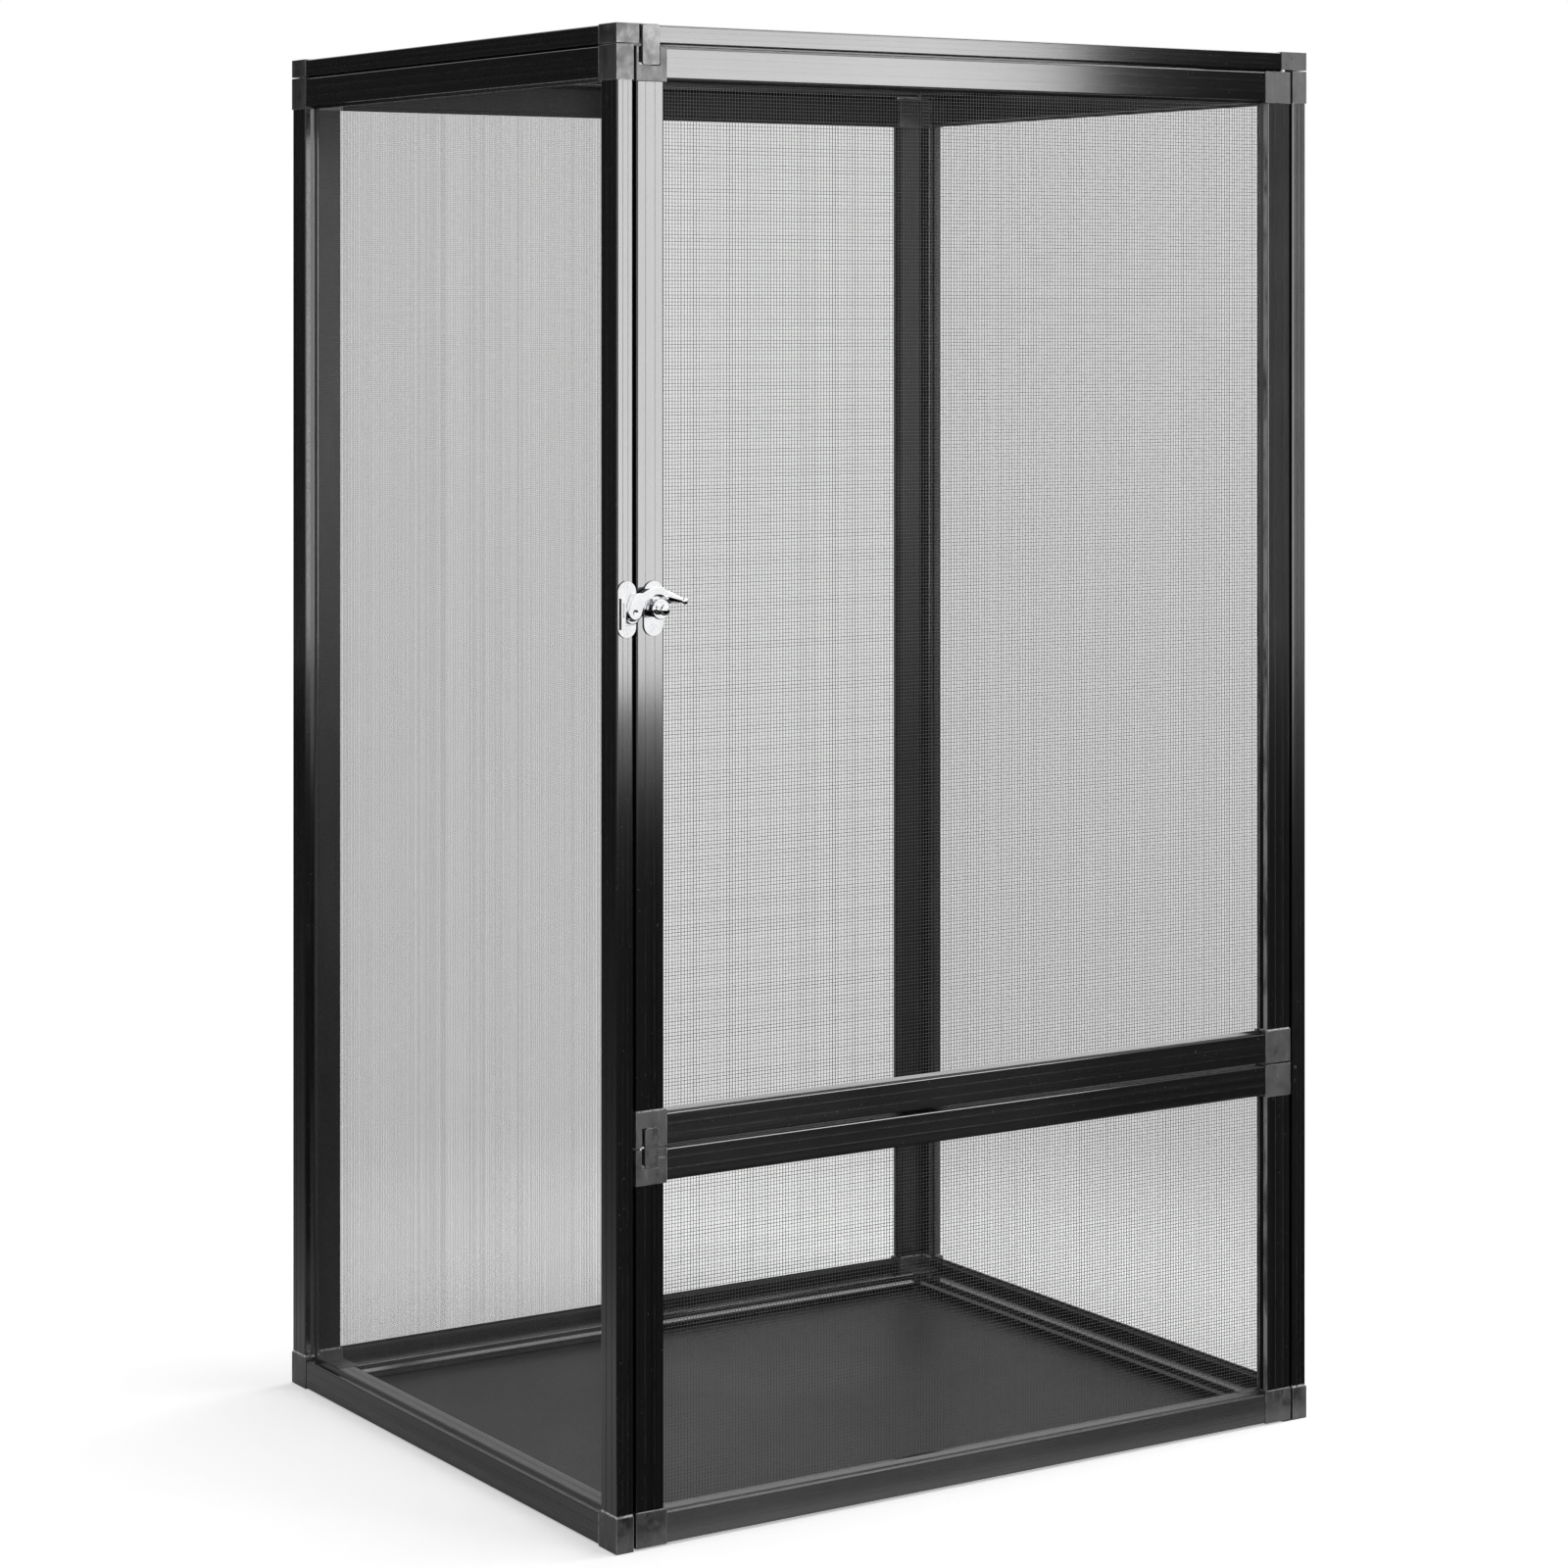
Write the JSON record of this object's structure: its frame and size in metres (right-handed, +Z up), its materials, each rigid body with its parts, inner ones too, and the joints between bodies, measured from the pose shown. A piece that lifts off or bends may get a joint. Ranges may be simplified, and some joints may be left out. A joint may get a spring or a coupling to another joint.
{
  "type": "mesh reptile cage",
  "caption": "Tall black mesh reptile cage of hollow aluminium bars and plastic corner connectors, with an upper and a lower front door on pivot pins, a chrome turn latch and slide catches",
  "frame": {"origin": "centre of the panels' footprint, on the floor", "axes": "+X to the right seen from the front, +Y to the back, +Z up; the doors face -Y"},
  "size_m": [0.6, 0.519, 1.026],
  "materials": {
    "bar_metal": "black anodised, satin",
    "connector_plastic": "dark grey, fine moulded grain",
    "catch_plastic": "black, moulded",
    "mesh": "fine woven wire, dark grey",
    "spline_rubber": "black, matt",
    "floor_board": "black, fine grain",
    "latch_chrome": "polished",
    "hardware_steel": "bright zinc"
  },
  "bodies": {
    "cage": {"left_front_stile": "bar_metal", "left_back_stile": "bar_metal", "left_rails": "bar_metal", "left_connectors": "connector_plastic", "left_mesh": "mesh", "left_spline": "spline_rubber", "right_front_stile": "bar_metal", "right_back_stile": "bar_metal", "right_rails": "bar_metal", "right_connectors": "connector_plastic", "right_mesh": "mesh", "right_spline": "spline_rubber", "back_stiles": "bar_metal", "back_rails": "bar_metal", "back_connectors": "connector_plastic", "back_mesh": "mesh", "back_spline": "spline_rubber", "top_front_rail": "bar_metal", "top_back_rail": "bar_metal", "top_side_rails": "bar_metal", "top_catch_connector": "connector_plastic", "top_connectors": "connector_plastic", "top_mesh": "mesh", "top_spline": "spline_rubber", "top_screws": "hardware_steel", "floor_cross_bars": "bar_metal", "floor_side_bars": "bar_metal", "floor_connectors": "connector_plastic", "floor_board": "floor_board", "floor_screws": "hardware_steel", "top_hinge_pin": "hardware_steel", "middle_hinge_plate": "hardware_steel", "bottom_hinge_plate": "hardware_steel", "hinge_screw": "hardware_steel", "latch_keeper": "latch_chrome", "latch_keeper_screws": "latch_chrome"},
    "upper_door": {"upper_latch_stile": "bar_metal", "upper_hinge_stile": "bar_metal", "upper_top_rail": "bar_metal", "upper_bottom_rail": "bar_metal", "upper_catch_socket": "connector_plastic", "upper_catch_carrier": "connector_plastic", "upper_hinge_connectors": "connector_plastic", "upper_mesh": "mesh", "upper_spline": "spline_rubber", "latch_base_plate": "latch_chrome", "latch_base_screws": "latch_chrome", "latch_knob": "latch_chrome"},
    "lower_door": {"lower_free_stile": "bar_metal", "lower_hinge_stile": "bar_metal", "lower_top_rail": "bar_metal", "lower_bottom_rail": "bar_metal", "lower_catch_socket": "connector_plastic", "lower_corner_connector": "connector_plastic", "lower_hinge_connectors": "connector_plastic", "lower_mesh": "mesh", "lower_spline": "spline_rubber"},
    "turn_lever": {"latch_lever": "latch_chrome"},
    "upper_slide": {"upper_catch": "catch_plastic"},
    "lower_slide": {"lower_catch": "catch_plastic"}
  },
  "joints": [
    {"name": "upper_door_hinge", "type": "hinge", "parent": "cage", "child": "upper_door", "pos_m": [0.2796, -0.2465, 0.64055], "axis": [0, 0, 1], "range_deg": [0, 115]},
    {"name": "lower_door_hinge", "type": "hinge", "parent": "cage", "child": "lower_door", "pos_m": [0.2796, -0.2465, 0.1349], "axis": [0, 0, 1], "range_deg": [0, 115]},
    {"name": "latch_turn", "type": "hinge", "parent": "upper_door", "child": "turn_lever", "pos_m": [-0.2714, -0.2495, 0.6325], "axis": [0, 1, 0], "range_deg": [-10, 75]},
    {"name": "upper_catch_slide", "type": "slide", "parent": "cage", "child": "upper_slide", "axis": [1, 0, 0], "range_m": [-0.0018, 0]},
    {"name": "lower_catch_slide", "type": "slide", "parent": "upper_door", "child": "lower_slide", "axis": [1, 0, 0], "range_m": [-0.0018, 0]}
  ]
}
